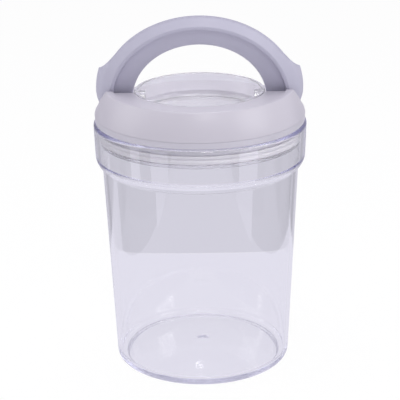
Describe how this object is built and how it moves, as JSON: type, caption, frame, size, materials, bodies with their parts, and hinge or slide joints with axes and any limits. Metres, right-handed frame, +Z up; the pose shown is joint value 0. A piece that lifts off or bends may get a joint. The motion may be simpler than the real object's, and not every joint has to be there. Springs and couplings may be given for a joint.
{
  "type": "food canister",
  "caption": "Round clear canister with a wide collar and a press-in lid, whose half-ring handle folds back flush and squeezes a gasket to seal it.",
  "frame": {"origin": "centre of the jar's foot, on the surface it stands on", "axes": "+Z up along the jar's axis, -Y towards the front, where the raised handle leans, X along the handle's hinge"},
  "size_m": [0.12, 0.12, 0.2066],
  "materials": {
    "clear_plastic": "clear, polished",
    "grey_plastic": "satin, finely textured",
    "lavender_plastic": "satin, finely textured",
    "silicone": "matt, translucent",
    "steel": "drawn wire"
  },
  "bodies": {
    "jar": {"jar": "clear_plastic"},
    "lid": {"lid_cover": "grey_plastic", "lid_base_ring": "grey_plastic", "gasket": "silicone"},
    "plug": {"inner_lid": "clear_plastic", "hinge_pin_left": "steel", "hinge_pin_right": "steel"},
    "handle": {"handle": "lavender_plastic"}
  },
  "joints": [
    {"name": "lid_lift", "type": "slide", "parent": "jar", "child": "lid", "axis": [0, 0, 1], "range_m": [0, 0.06]},
    {"name": "plug_lift", "type": "slide", "parent": "lid", "child": "plug", "axis": [0, 0, 1], "range_m": [0, 0.0015], "deforming": ["gasket"]},
    {"name": "handle_swing", "type": "hinge", "parent": "plug", "child": "handle", "pos_m": [0, 0, 0.1551], "axis": [-1, 0, 0], "range_deg": [0, 111]}
  ],
  "couplings": [
    {"joint": "plug_lift", "follows": "handle_swing", "m_per_rad": 0.00077426}
  ]
}
